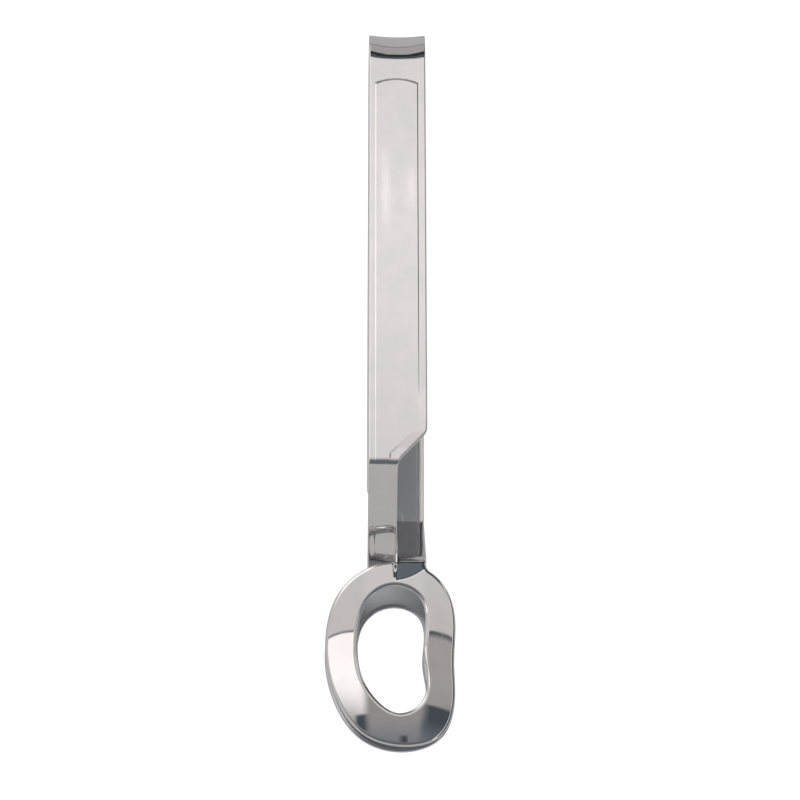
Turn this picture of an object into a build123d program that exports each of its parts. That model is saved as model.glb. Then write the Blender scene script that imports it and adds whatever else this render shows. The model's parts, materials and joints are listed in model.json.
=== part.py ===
from build123d import *
import math
import os

# Self-closing crossed-arm tongs, pressed and bent from stainless steel strip.
# Every length is in millimetres and every angle in degrees.
#
# The strip is laid out in its own side view first: "reach" runs from the outer end of the
# bow towards the tip of the jaws, and "rise" runs from the mid-plane between the two arms
# towards the upper handle. The finished pieces are then tipped so that the lower handle
# lies flat on the table, with the bow towards +Y, the jaws towards -Y and the width along X.

# ---------------------------------------------------------------- driving dimensions
SHEET = 1.2                     # thickness of the strip
ARM_WIDTH = 11.8                # width of the bow and the handles
NECK_GAP = 0.4                  # clearance between the two necks where they cross
BOW_RADIUS = 9.0                # outer radius of the spring bow
HANDLE_SPREAD = 4.9             # angle of each handle away from the mid-plane
SHOULDER_REACH = 104.3          # where a handle bends into its neck
NECK_ANGLE = 52.4               # slope of each neck across the mid-plane
JAW_REACH = 121.8               # where a neck bends into its jaw
TIP_REACH = 159.5               # tip of the jaws
SHOULDER_BEND = 1.0             # mid-sheet radius of the shoulder bend
JAW_BEND = 3.1                  # mid-sheet radius of the bend into the jaw
JAW_LONG_RADIUS = 150.0         # dishing of the jaw along its length
JAW_CROSS_RADIUS = 36.0         # dishing of the jaw across its width
DISH_CENTRE_X = -1.0            # crown line of the dished jaws
REAR_JAW_SHIFT = -0.35          # the lower jaw sits this far to one side

SHOULDER_CUT = 6.2              # reach taken by the slanting cut from handle to neck
CUT_CORNER = 0.8                # corner radius at the wide end of the slanting cut

PANEL_HEIGHT = 0.3              # pressed step of the panel along each handle
PANEL_INSET_NECK_SIDE = 1.2     # border beside the panel, on the side that runs into the neck
PANEL_INSET_CUT_SIDE = 1.5      # border beside the panel, on the side that is cut away
PANEL_START = 13.8              # reach of the panel's arched end
PANEL_ARCH = 0.9                # height of that arch
PANEL_END_MARGIN = 1.0          # plain border between the panel and the shoulder bend

# Outline of a jaw ring, seen from above, as (x, reach); kidney shaped, hollow on +X.
RING_OUTLINE = [
    (2.6, 122.0), (8.8, 125.4), (11.5, 131.5), (11.3, 142.0), (11.7, 149.8), (9.0, 156.8),
    (1.7, 159.5), (-7.2, 156.7), (-12.1, 149.3), (-14.1, 137.5), (-11.5, 127.8), (-6.2, 123.2),
]
HOLE_OUTLINE = [
    (0.2, 127.1), (4.6, 129.5), (5.6, 134.9), (5.3, 140.3), (6.0, 146.5), (4.8, 150.6),
    (0.6, 152.9), (-4.35, 149.9), (-7.35, 144.1), (-7.8, 138.0), (-6.1, 130.5), (-3.4, 127.9),
]

# ---------------------------------------------------------------- derived dimensions
HALF = SHEET / 2
HALF_WIDTH = ARM_WIDTH / 2
BOW_MID_RADIUS = BOW_RADIUS - HALF
NECK_WIDTH = HALF_WIDTH - NECK_GAP / 2
PRISM = 60.0                    # taller than the whole object, for plan-view cuts
OVERLAP = 0.5                   # how far a jaw's root runs under its ring before they join
DISH_SWEEP = 56.0               # turned angle of the dished blank, wider than the jaw
BLANK_MARGIN = 2.0              # extra angle of the dished blank past the jaw's root and tip

SIDE = Plane(origin=(0, 0, 0), x_dir=(0, -1, 0), z_dir=(-1, 0, 0))
PLAN = Plane(origin=(0, 0, -PRISM / 2), x_dir=(1, 0, 0), z_dir=(0, 0, 1))


def turned(angle):
    """Unit vector (reach, rise) at an angle above the mid-plane."""
    return (math.cos(math.radians(angle)), math.sin(math.radians(angle)))


def moved(point, angle, distance):
    """Point reached by going a distance from another point at an angle."""
    along = turned(angle)
    return (point[0] + along[0] * distance, point[1] + along[1] * distance)


# Mid-sheet line of the upper arm: bow end, shoulder corner and jaw corner.
BOW_END = moved((BOW_RADIUS, 0), 90 + HANDLE_SPREAD, BOW_MID_RADIUS)
SHOULDER_RISE = BOW_END[1] + (SHOULDER_REACH - BOW_END[0]) * math.tan(math.radians(HANDLE_SPREAD))
SHOULDER = (SHOULDER_REACH, SHOULDER_RISE)
NECK_DROP = (JAW_REACH - SHOULDER_REACH) * math.tan(math.radians(NECK_ANGLE))
JAW_CORNER = (JAW_REACH, SHOULDER_RISE - NECK_DROP)

SHOULDER_TURN = HANDLE_SPREAD + NECK_ANGLE
SHOULDER_TANGENT = SHOULDER_BEND * math.tan(math.radians(SHOULDER_TURN / 2))
JAW_TANGENT = JAW_BEND * math.tan(math.radians(NECK_ANGLE / 2))

HANDLE_END = moved(SHOULDER, HANDLE_SPREAD + 180, SHOULDER_TANGENT)
NECK_START = moved(SHOULDER, -NECK_ANGLE, SHOULDER_TANGENT)
NECK_END = moved(JAW_CORNER, -NECK_ANGLE + 180, JAW_TANGENT)
JAW_START = moved(JAW_CORNER, 0, JAW_TANGENT)


# ---------------------------------------------------------------- building blocks
def side_solid(outline, x_low, x_high):
    """Solid between two X positions from a closed (reach, rise) face."""
    solid = extrude(SIDE * outline, amount=(x_high - x_low) / 2, both=True)
    return Pos((x_low + x_high) / 2, 0, 0) * solid


def straight_strip(start, end):
    """Side-view face of a straight stretch of sheet."""
    angle = math.degrees(math.atan2(end[1] - start[1], end[0] - start[0]))
    corners = [
        moved(start, angle + 90, HALF), moved(start, angle - 90, HALF),
        moved(end, angle - 90, HALF), moved(end, angle + 90, HALF),
    ]
    return make_face(Polyline(*corners, close=True))


def bent_strip(centre, radius, from_angle, to_angle):
    """Side-view face of a bent stretch of sheet, between two angles about a centre."""
    middle = (from_angle + to_angle) / 2
    outer = [moved(centre, a, radius + HALF) for a in (from_angle, middle, to_angle)]
    inner = [moved(centre, a, radius - HALF) for a in (from_angle, middle, to_angle)]
    edges = [
        ThreePointArc(*outer), Line(outer[2], inner[2]),
        ThreePointArc(inner[2], inner[1], inner[0]), Line(inner[0], outer[0]),
    ]
    return make_face(edges)


def plan_face(points):
    """Plan-view face inside straight edges between (x, reach) points."""
    return PLAN * make_face(Polyline(*[(x, -reach) for x, reach in points], close=True))


def plan_prism(face):
    """Tall solid above and below a plan-view face."""
    return extrude(face, amount=PRISM, dir=(0, 0, 1))


def smooth_prism(points):
    """Tall solid inside a smooth closed curve through (x, reach) points."""
    curve = Spline(*[(x, -reach) for x, reach in points], periodic=True)
    return plan_prism(PLAN * make_face(curve))


# ---------------------------------------------------------------- the bow
def build_bow():
    """Half-round spring that joins the two handles."""
    end_angle = 90 + HANDLE_SPREAD
    arch = bent_strip((BOW_RADIUS, 0), BOW_MID_RADIUS, end_angle, 360 - end_angle)
    return side_solid(arch, -HALF_WIDTH, HALF_WIDTH)


# ---------------------------------------------------------------- one arm, neck towards -X
def handle_plan():
    """Plan outline of a handle with its slanting shoulder cut."""
    cut_start = SHOULDER_REACH - SHOULDER_CUT
    neck_edge = -HALF_WIDTH + NECK_WIDTH
    return plan_face([
        (-HALF_WIDTH, 0), (HALF_WIDTH, 0), (HALF_WIDTH, cut_start - CUT_CORNER),
        (HALF_WIDTH - CUT_CORNER / 2, cut_start), (neck_edge, SHOULDER_REACH),
        (-HALF_WIDTH, SHOULDER_REACH),
    ])


def panel_plan():
    """Plan outline of the pressed panel: arched at the bow, slanting at the shoulder."""
    low_x = -HALF_WIDTH + PANEL_INSET_NECK_SIDE
    high_x = HALF_WIDTH - PANEL_INSET_CUT_SIDE
    neck_x = low_x + NECK_WIDTH - 2 * PANEL_INSET_NECK_SIDE
    end = HANDLE_END[0] - PANEL_END_MARGIN
    slant_start = end - (high_x - neck_x)
    arch = ThreePointArc(
        (low_x, -PANEL_START - PANEL_ARCH), ((low_x + high_x) / 2, -PANEL_START),
        (high_x, -PANEL_START - PANEL_ARCH),
    )
    sides = Polyline(
        (high_x, -PANEL_START - PANEL_ARCH), (high_x, -slant_start), (neck_x, -end),
        (low_x, -end), (low_x, -PANEL_START - PANEL_ARCH),
    )
    return PLAN * make_face([*arch.edges(), *sides.edges()])


def build_handle():
    """Upper handle: flat strip, slanting cut and pressed panel."""
    strip = side_solid(straight_strip(BOW_END, HANDLE_END), -HALF_WIDTH, HALF_WIDTH)
    strip &= plan_prism(handle_plan())
    lifted_start = moved(BOW_END, HANDLE_SPREAD + 90, PANEL_HEIGHT)
    lifted_end = moved(HANDLE_END, HANDLE_SPREAD + 90, PANEL_HEIGHT)
    blank = side_solid(straight_strip(lifted_start, lifted_end), -HALF_WIDTH, HALF_WIDTH)
    panel = blank & plan_prism(panel_plan())
    return (strip - plan_prism(panel_plan())) + panel


def build_neck():
    """Upper arm's neck: the shoulder bend and the steep strip that crosses to the other side."""
    centre = moved(HANDLE_END, HANDLE_SPREAD - 90, SHOULDER_BEND)
    bend = bent_strip(centre, SHOULDER_BEND, 90 + HANDLE_SPREAD, 90 - NECK_ANGLE)
    profile = bend + straight_strip(NECK_START, NECK_END)
    return side_solid(profile, -HALF_WIDTH, -HALF_WIDTH + NECK_WIDTH)


def jaw_blank():
    """Dished plate that the jaw ring is cut from, below the mid-plane."""
    arc_centre = moved(JAW_START, 90, JAW_LONG_RADIUS)
    from_angle = -90 - BLANK_MARGIN
    to_angle = -90 + math.degrees((TIP_REACH - JAW_START[0]) / JAW_LONG_RADIUS) + BLANK_MARGIN
    section = SIDE * bent_strip(arc_centre, JAW_LONG_RADIUS, from_angle, to_angle)
    dish_axis = Axis((DISH_CENTRE_X, 0, JAW_CORNER[1] + JAW_CROSS_RADIUS), (0, 1, 0))
    section = Pos(DISH_CENTRE_X, 0, 0) * section
    return revolve(section.rotate(dish_axis, -DISH_SWEEP / 2), dish_axis, DISH_SWEEP)


def build_jaw(neck_low_x, shift):
    """Lower jaw: the bend at its root and the dished kidney ring with its opening."""
    neck_high_x = neck_low_x + NECK_WIDTH
    ring = jaw_blank() & smooth_prism([(x + shift, reach) for x, reach in RING_OUTLINE])
    ring -= smooth_prism([(x + shift, reach) for x, reach in HOLE_OUTLINE])
    root_room = [
        (neck_low_x, 0), (neck_high_x, 0), (neck_high_x, JAW_START[0]), (neck_low_x, JAW_START[0]),
    ]
    ring -= plan_prism(plan_face(root_room))
    centre = moved(NECK_END, 90 - NECK_ANGLE, JAW_BEND)
    bend = bent_strip(centre, JAW_BEND, -90 - NECK_ANGLE, -90)
    tongue = straight_strip(JAW_START, moved(JAW_START, 0, OVERLAP))
    return ring + side_solid(bend + tongue, neck_low_x, neck_high_x)


# ---------------------------------------------------------------- placing and writing
def mirrored_arm(piece):
    """The same piece on the other arm: across the mid-plane."""
    return mirror(piece, about=Plane.XY)


def build_all():
    """Every node of the tongs in the side-view frame, by name."""
    handle = build_handle()
    neck = build_neck()
    return {
        "bow": build_bow(),
        "upper_handle": handle,
        "upper_neck": neck,
        "lower_jaw": build_jaw(-HALF_WIDTH, REAR_JAW_SHIFT),
        "lower_handle": mirror(mirrored_arm(handle), about=Plane.YZ),
        "lower_neck": mirror(mirrored_arm(neck), about=Plane.YZ),
        "upper_jaw": mirrored_arm(build_jaw(HALF_WIDTH - NECK_WIDTH, 0)),
    }


def place_on_table(pieces):
    """Tip the tongs onto the lower handle, centred over the origin."""
    tipped = {name: Rot(-HANDLE_SPREAD, 0, 0) * piece for name, piece in pieces.items()}
    box = Compound(children=[Part(p.wrapped) for p in tipped.values()]).bounding_box()
    centre = box.center()
    shift = Pos(-centre.X, -centre.Y, -box.min.Z)
    return {name: shift * piece for name, piece in tipped.items()}, shift


pieces, placing = place_on_table(build_all())
os.makedirs("parts", exist_ok=True)
for name, piece in pieces.items():
    export_step(piece, f"parts/{name}.step")

bow_axis = placing * Rot(-HANDLE_SPREAD, 0, 0) * Pos(0, -BOW_RADIUS, 0)
print("bow axis at", bow_axis.position)
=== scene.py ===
"""Self-closing kitchen tongs, bent and pressed from one strip of polished stainless steel.

The metal is laid out in its own side view first. "reach" runs from the outer end of the bow
towards the tip of the jaws, "rise" runs from the mid-plane between the arms towards the upper
handle, and x runs across the strip, all in millimetres. StripFrame then puts every point in
the frame of the CAD model, in metres.
"""

import json
import logging
import math
from dataclasses import dataclass
from enum import Enum
from typing import Callable

import bpy
import numpy as np
from mathutils import Matrix, Vector


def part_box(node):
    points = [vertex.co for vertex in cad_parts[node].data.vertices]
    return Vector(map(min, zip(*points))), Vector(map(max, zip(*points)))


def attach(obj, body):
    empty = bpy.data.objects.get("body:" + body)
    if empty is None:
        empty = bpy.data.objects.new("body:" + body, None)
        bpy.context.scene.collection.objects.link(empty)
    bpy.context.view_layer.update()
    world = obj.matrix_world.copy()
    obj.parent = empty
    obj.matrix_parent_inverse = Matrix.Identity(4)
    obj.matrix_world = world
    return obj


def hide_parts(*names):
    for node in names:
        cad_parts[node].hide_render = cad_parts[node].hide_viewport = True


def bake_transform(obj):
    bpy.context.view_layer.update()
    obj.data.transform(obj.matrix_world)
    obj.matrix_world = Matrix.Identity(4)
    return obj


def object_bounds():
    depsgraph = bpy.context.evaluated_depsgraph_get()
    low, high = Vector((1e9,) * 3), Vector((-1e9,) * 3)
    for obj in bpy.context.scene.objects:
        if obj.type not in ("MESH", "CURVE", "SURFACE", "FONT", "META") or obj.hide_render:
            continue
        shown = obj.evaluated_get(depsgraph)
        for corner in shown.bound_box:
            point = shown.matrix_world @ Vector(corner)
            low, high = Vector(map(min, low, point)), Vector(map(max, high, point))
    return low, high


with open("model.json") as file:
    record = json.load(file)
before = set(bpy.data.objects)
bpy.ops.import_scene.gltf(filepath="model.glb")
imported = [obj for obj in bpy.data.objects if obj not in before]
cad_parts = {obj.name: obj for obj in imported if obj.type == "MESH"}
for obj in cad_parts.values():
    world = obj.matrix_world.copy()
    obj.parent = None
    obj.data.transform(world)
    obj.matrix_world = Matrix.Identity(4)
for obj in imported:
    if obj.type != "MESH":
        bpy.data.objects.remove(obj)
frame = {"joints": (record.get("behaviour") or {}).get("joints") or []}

LOG = logging.getLogger("tongs")
MM = 0.001
CAD_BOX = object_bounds()
BRUSHED_MASK = "brushed_inside"
WHITE = (1.0, 1.0, 1.0, 1.0)
Array = np.ndarray


# ------------------------------------------------------------------ small maths
def turned(angle: float) -> tuple[float, float]:
    """Unit (reach, rise) vector at an angle in degrees above the mid-plane."""
    return math.cos(math.radians(angle)), math.sin(math.radians(angle))


def moved(point: tuple[float, float], angle: float, distance: float) -> tuple[float, float]:
    """Point reached by going a distance from another point at an angle in degrees."""
    along = turned(angle)
    return point[0] + along[0] * distance, point[1] + along[1] * distance


def smooth_step(value: Array | float, low: float, high: float) -> Array:
    """Smooth ramp from 0 at low to 1 at high.

    Args:
        value: Where the ramp is read.
        low: Value at which the ramp starts.
        high: Value at which the ramp is full.

    Returns:
        The ramp's height, between 0 and 1.
    """
    t = np.clip((np.asarray(value, float) - low) / (high - low), 0.0, 1.0)
    return t * t * (3 - 2 * t)


def smooth_min(a: Array, b: Array, blend: float) -> Array:
    """Smaller of two values, with the corner between them rounded over a blend length."""
    h = np.clip(0.5 + 0.5 * (b - a) / blend, 0.0, 1.0)
    return b * (1 - h) + a * h - blend * h * (1 - h)


def spaced(*spans: tuple[float, float, float]) -> Array:
    """Rising values through several spans.

    Args:
        spans: Each span's start, end and largest step.

    Returns:
        Every value once, from the first start to the last end.
    """
    values: list[float] = []
    for start, end, step in spans:
        count = max(1, math.ceil((end - start) / step))
        values.extend(np.linspace(start, end, count + 1)[(1 if values else 0):])
    return np.array(values)


def closed_spline(points: list[tuple[float, float]], count: int) -> Array:
    """Smooth closed curve through points, as a periodic cubic spline over chord length.

    Args:
        points: The points that the curve passes through, in order.
        count: How many points are wanted, evenly spaced in the spline's parameter.

    Returns:
        An array of count points along the curve.
    """
    knots = np.array(points, float)
    step = np.linalg.norm(np.roll(knots, -1, axis=0) - knots, axis=1)
    total = len(knots)
    system = np.zeros((total, total))
    right = np.zeros((total, 2))
    for i in range(total):
        before, after = (i - 1) % total, (i + 1) % total
        system[i, before] += step[before]
        system[i, i] += 2 * (step[before] + step[i])
        system[i, after] += step[i]
        rise_after = (knots[after] - knots[i]) / step[i]
        rise_before = (knots[i] - knots[before]) / step[before]
        right[i] = 6 * (rise_after - rise_before)
    bend = np.linalg.solve(system, right)
    starts = np.concatenate([[0], np.cumsum(step)])
    along = np.linspace(0, starts[-1], count, endpoint=False)
    found = np.searchsorted(starts, along, side="right") - 1
    following = (found + 1) % total
    width = step[found][:, None]
    b = (along - starts[found])[:, None] / width
    a = 1 - b
    curve = a * knots[found] + b * knots[following]
    return curve + ((a**3 - a) * bend[found] + (b**3 - b) * bend[following]) * width**2 / 6


def path_length(points: Array) -> Array:
    """Distance along a line of points, from 0 at the first one."""
    gaps = np.linalg.norm(np.diff(points, axis=0), axis=1)
    return np.concatenate([[0], np.cumsum(gaps)])


def resampled(points: Array, at: Array) -> Array:
    """Points of a line at given distances along it."""
    length = path_length(points)
    return np.stack([np.interp(at, length, points[:, k]) for k in range(points.shape[1])], 1)


# ------------------------------------------------------------------ the strip's layout
class Arm(Enum):
    """The two arms that spring from the bow, with the way that each faces."""

    UPPER = 1
    LOWER = -1

    @property
    def body(self) -> str:
        """Name of the moving body that this arm is."""
        return "upper_arm" if self is Arm.UPPER else "lower_arm"


@dataclass(frozen=True)
class StripFrame:
    """Puts points of the side-view layout in the CAD model's frame."""

    axis: Vector
    bow_radius: float = 9.0
    tip_angle: float = 4.9

    def place(self, x: Array, reach: Array, rise: Array) -> Array:
        """Points in the CAD model's frame, in metres, from layout coordinates in millimetres.

        Args:
            x: Distances across the strip.
            reach: Distances from the bow's outer end.
            rise: Distances above the mid-plane.

        Returns:
            An array with one more axis than the inputs, of length three.
        """
        cos, sin = turned(self.tip_angle)
        along = (reach - self.bow_radius) * MM
        up = rise * MM
        return np.stack([
            self.axis.x + x * MM,
            self.axis.y - along * cos + up * sin,
            self.axis.z + along * sin + up * cos,
        ], axis=-1)

    def direct(self, x: Array, reach: Array, rise: Array) -> Array:
        """Directions in the CAD model's frame from directions in the layout."""
        cos, sin = turned(self.tip_angle)
        return np.stack([x, -reach * cos + rise * sin, reach * sin + rise * cos], axis=-1)


@dataclass(frozen=True)
class StripLine:
    """Mid-sheet line of the upper arm, from the bow to the start of the jaw."""

    sheet: float = 1.2
    width: float = 11.8
    neck_gap: float = 0.06
    bow_radius: float = 9.0
    handle_spread: float = 4.9
    shoulder_reach: float = 104.3
    neck_angle: float = 52.4
    jaw_reach: float = 121.8
    shoulder_bend: float = 1.0
    jaw_bend: float = 3.1
    tongue_run: float = 1.7

    @property
    def half(self) -> float:
        """Half the sheet's thickness."""
        return self.sheet / 2

    @property
    def edge(self) -> float:
        """Half the strip's width."""
        return self.width / 2

    @property
    def mid_radius(self) -> float:
        """Radius of the bow at the middle of the sheet."""
        return self.bow_radius - self.half

    @property
    def neck_width(self) -> float:
        """Width of each neck."""
        return self.edge - self.neck_gap / 2

    @property
    def bow_end(self) -> tuple[float, float]:
        """Where the bow runs into the handle."""
        return moved((self.bow_radius, 0), 90 + self.handle_spread, self.mid_radius)

    @property
    def shoulder(self) -> tuple[float, float]:
        """Sharp corner between handle and neck, before it is rounded."""
        start = self.bow_end
        slope = math.tan(math.radians(self.handle_spread))
        return self.shoulder_reach, start[1] + (self.shoulder_reach - start[0]) * slope

    @property
    def jaw_corner(self) -> tuple[float, float]:
        """Sharp corner between neck and jaw, before it is rounded."""
        drop = (self.jaw_reach - self.shoulder_reach) * math.tan(math.radians(self.neck_angle))
        return self.jaw_reach, self.shoulder[1] - drop

    @property
    def handle_end(self) -> tuple[float, float]:
        """Where the handle starts to bend into the neck."""
        turn = math.radians(self.handle_spread + self.neck_angle)
        tangent = self.shoulder_bend * math.tan(turn / 2)
        return moved(self.shoulder, self.handle_spread + 180, tangent)

    @property
    def handle_length(self) -> float:
        """Length of the straight handle."""
        return math.dist(self.bow_end, self.handle_end)

    @property
    def bend_length(self) -> float:
        """Length of the rounded shoulder at the middle of the sheet."""
        return self.shoulder_bend * math.radians(self.handle_spread + self.neck_angle)

    @property
    def neck_length(self) -> float:
        """Length of the straight neck."""
        turn = math.radians(self.handle_spread + self.neck_angle)
        tangent = self.shoulder_bend * math.tan(turn / 2)
        jaw_tangent = self.jaw_bend * math.tan(math.radians(self.neck_angle) / 2)
        return math.dist(self.shoulder, self.jaw_corner) - tangent - jaw_tangent

    @property
    def neck_end(self) -> tuple[float, float]:
        """Where the neck starts to bend into the jaw."""
        tangent = self.jaw_bend * math.tan(math.radians(self.neck_angle) / 2)
        return moved(self.jaw_corner, 180 - self.neck_angle, tangent)

    @property
    def tongue_reach(self) -> float:
        """Where the jaw's tongue takes over from the neck."""
        return self.neck_end[0] - self.tongue_run * turned(self.neck_angle)[0]

    @property
    def jaw_start(self) -> tuple[float, float]:
        """Where the jaw's own dished form starts."""
        tangent = self.jaw_bend * math.tan(math.radians(self.neck_angle) / 2)
        return self.jaw_corner[0] + tangent, self.jaw_corner[1]

    def station(self, distance: float) -> tuple[float, float, float]:
        """One station of the mid-sheet line.

        Args:
            distance: Length along the sheet from the bow's end, negative round the bow.

        Returns:
            The station's reach, its rise and the line's direction in degrees.
        """
        if distance < 0:
            swing = math.degrees(-distance / self.mid_radius)
            angle = 90 + self.handle_spread + swing
            point = moved((self.bow_radius, 0), angle, self.mid_radius)
            return point[0], point[1], angle - 90
        if distance <= self.handle_length:
            point = moved(self.bow_end, self.handle_spread, distance)
            return point[0], point[1], self.handle_spread
        past = distance - self.handle_length
        centre = moved(self.handle_end, self.handle_spread - 90, self.shoulder_bend)
        if past < self.bend_length:
            swing = math.degrees(past / self.shoulder_bend)
            angle = 90 + self.handle_spread - swing
            point = moved(centre, angle, self.shoulder_bend)
            return point[0], point[1], angle - 90
        start = moved(centre, 90 - self.neck_angle, self.shoulder_bend)
        point = moved(start, -self.neck_angle, past - self.bend_length)
        return point[0], point[1], -self.neck_angle


@dataclass(frozen=True)
class PressedPanel:
    """The long panel pressed up along a handle, whose near line runs on down the neck."""

    height: float = 0.13
    crown: float = 0.07
    shoulder_share: float = 0.7
    shoulder_start: float = 60.0
    shoulder_full: float = 102.6
    low_x: float = -4.7
    high_x: float = 4.4
    start: float = 14.3
    arch: float = 1.1
    step: float = 0.36
    fade_start: float = 88.0
    fade_end: float = 97.0
    return_start: float = 97.5
    return_end: float = 101.8
    corner_x: float = -1.4
    slant_end: float = 102.9
    run_out_start: float = 15.0
    run_out_end: float = 24.0
    open_start: float = -0.1
    open_full: float = 1.0

    def within(self, x: Array) -> Array:
        """1 between the panel's two long lines and 0 outside them."""
        inner = smooth_step(x - self.low_x, 0.0, self.step)
        return inner * smooth_step(self.high_x - x, 0.0, self.step)

    def lift(self, x: Array, reach: Array, past: Array) -> Array:
        """Height of the panel above the plain strip.

        Args:
            x: Distances across the strip.
            reach: Reach of each point, as if the handle ran straight on.
            past: Length along the neck, zero or less on the handle.

        Returns:
            How far the sheet is pushed out at each point.
        """
        middle = (self.low_x + self.high_x) / 2
        half = (self.high_x - self.low_x) / 2
        arched = self.start + self.arch * ((x - middle) / half) ** 2
        begin = smooth_step(reach - arched, 0.0, self.step)
        near = smooth_step(x - self.low_x, 0.0, self.step)
        side = self.high_x - x
        run = self.slant_end - (self.high_x - self.corner_x)
        slant = ((run - reach) + side) / math.sqrt(2)
        corner = np.minimum(np.maximum(slant, self.corner_x - x), side)
        far = smooth_step(corner, 0.0, self.step)
        level = smooth_step(reach, self.fade_start, self.fade_end)
        level = level * (1 - smooth_step(reach, self.return_start, self.return_end))
        level = np.maximum(level, smooth_step(past, self.open_start, self.open_full))
        far = 1 - (1 - far) * (1 - level)
        crowned = 1 - self.crown / self.height * np.clip(((x - middle) / half) ** 2, 0, 1)
        lower = 1 - smooth_step(reach, self.shoulder_start, self.shoulder_full)
        share = self.shoulder_share + (1 - self.shoulder_share) * lower
        run_out = 1 - smooth_step(past, self.run_out_start, self.run_out_end)
        return self.height * begin * near * far * crowned * share * run_out


# ------------------------------------------------------------------ meshes
@dataclass(frozen=True)
class EdgeRound:
    """How the sheet's cut edge is rounded: its width and its depth from each face."""

    width: float
    depth: float
    steps: int = 6

    def profile(self, half: float) -> tuple[Array, Array]:
        """Inset and height from the mid-sheet line at the edge up to the face.

        Args:
            half: Half the sheet's thickness.

        Returns:
            The insets from the edge and the heights above mid-sheet, edge first.
        """
        angle = np.linspace(0, math.pi / 2, self.steps)
        inset = np.concatenate([[0.0], self.width * (1 - np.cos(angle))])
        height = np.concatenate([[0.0], half - self.depth + self.depth * np.sin(angle)])
        return inset, height

    def facing(self) -> tuple[Array, Array]:
        """How far each point of the profile faces outwards and how far it faces up."""
        angle = np.linspace(0, math.pi / 2, self.steps)
        outward = np.concatenate([[1.0], self.depth * np.cos(angle)])
        upward = np.concatenate([[0.0], self.width * np.sin(angle)])
        size = np.hypot(outward, upward)
        return outward / size, upward / size


def grid_object(name: str, grid: Array, brushed: Array, capped: bool,
                ring: bool) -> bpy.types.Object:
    """Closed smooth mesh from rows of points, each row a closed loop round the sheet.

    Args:
        name: Name of the object.
        grid: Points in metres, as rows by loop points by three.
        brushed: Share of the brushed inner finish at each point, as rows by loop points.
        capped: Whether the first and last rows are closed by flat caps.
        ring: Whether the last row joins on to the first.

    Returns:
        The new object, linked to the scene.
    """
    rows, loop = grid.shape[:2]
    i, k = np.meshgrid(np.arange(rows if ring else rows - 1), np.arange(loop), indexing="ij")
    after, side = (i + 1) % rows, (k + 1) % loop
    faces = np.stack([i * loop + k, i * loop + side, after * loop + side, after * loop + k], -1)
    faces = faces.reshape(-1, 4).tolist()
    if capped:
        for row, turn in ((0, 1), (rows - 1, -1)):
            base = row * loop
            faces.append([base + 1, base, base + loop - 1][::turn])
            for j in range(1, loop // 2 - 1):
                quad = [base + j, base + loop - j, base + loop - j - 1, base + j + 1]
                faces.append(quad[::turn])
            faces.append([base + loop // 2 - 1, base + loop // 2 + 1, base + loop // 2][::turn])
    mesh = bpy.data.meshes.new(name)
    mesh.from_pydata(grid.reshape(-1, 3).tolist(), [], faces)
    mesh.update()
    mesh.validate()
    mask = mesh.attributes.new(BRUSHED_MASK, "FLOAT", "POINT")
    mask.data.foreach_set("value", brushed.astype(np.float32).ravel())
    signed = 0.0
    for face in mesh.polygons:
        signed += face.center.dot(face.normal) * face.area
    if signed < 0:
        mesh.flip_normals()
    mesh.shade_smooth()
    if capped:
        for edge in mesh.edges:
            a, b = edge.vertices
            if a // loop == b // loop and a // loop in (0, rows - 1):
                edge.use_edge_sharp = True
    made = bpy.data.objects.new(name, mesh)
    bpy.context.collection.objects.link(made)
    return made


@dataclass
class StripSweep:
    """Sweeps the sheet's section, with its rounded edges, along the strip line."""

    line: StripLine
    place: StripFrame
    arm: Arm
    rounding: EdgeRound = EdgeRound(0.3, 0.3)
    panel: PressedPanel = PressedPanel()

    def row(self, distance: float, columns: Array, lift: Callable[[Array, float], Array],
            right: float, slant: float) -> tuple[Array, Array]:
        """One closed loop of points round the sheet.

        Args:
            distance: Length along the sheet of this row.
            columns: Positions across the top face, from the near edge.
            lift: Gives how far the sheet is pushed out, from x and the distance.
            right: Where the far edge is.
            slant: Slope of the far edge, which stretches its rounding.

        Returns:
            The loop's points in metres, and each point's share of the brushed finish.
        """
        line = self.line
        inset, height = self.rounding.profile(line.half)
        stretch = math.sqrt(1 + slant * slant)
        x = np.concatenate([
            -line.edge + inset, columns, (right - inset * stretch)[::-1],
            (right - inset * stretch)[1:], columns[::-1], (-line.edge + inset)[:0:-1],
        ])
        n = np.concatenate([
            height, np.full(len(columns), line.half), height[::-1],
            -height[1:], np.full(len(columns), -line.half), -height[:0:-1],
        ])
        reach, rise, angle = line.station(distance)
        past = distance - line.handle_length
        fades = 1 - smooth_step(past, 0.0, line.bend_length)
        brushed = np.clip(-n / line.half, 0.0, 1.0) * fades * self.panel.within(x)
        n = n + lift(x, distance)
        along = turned(angle)
        points = self.place.place(
            x * self.arm.value, reach - n * along[1], (rise + n * along[0]) * self.arm.value)
        return points, brushed


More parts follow.
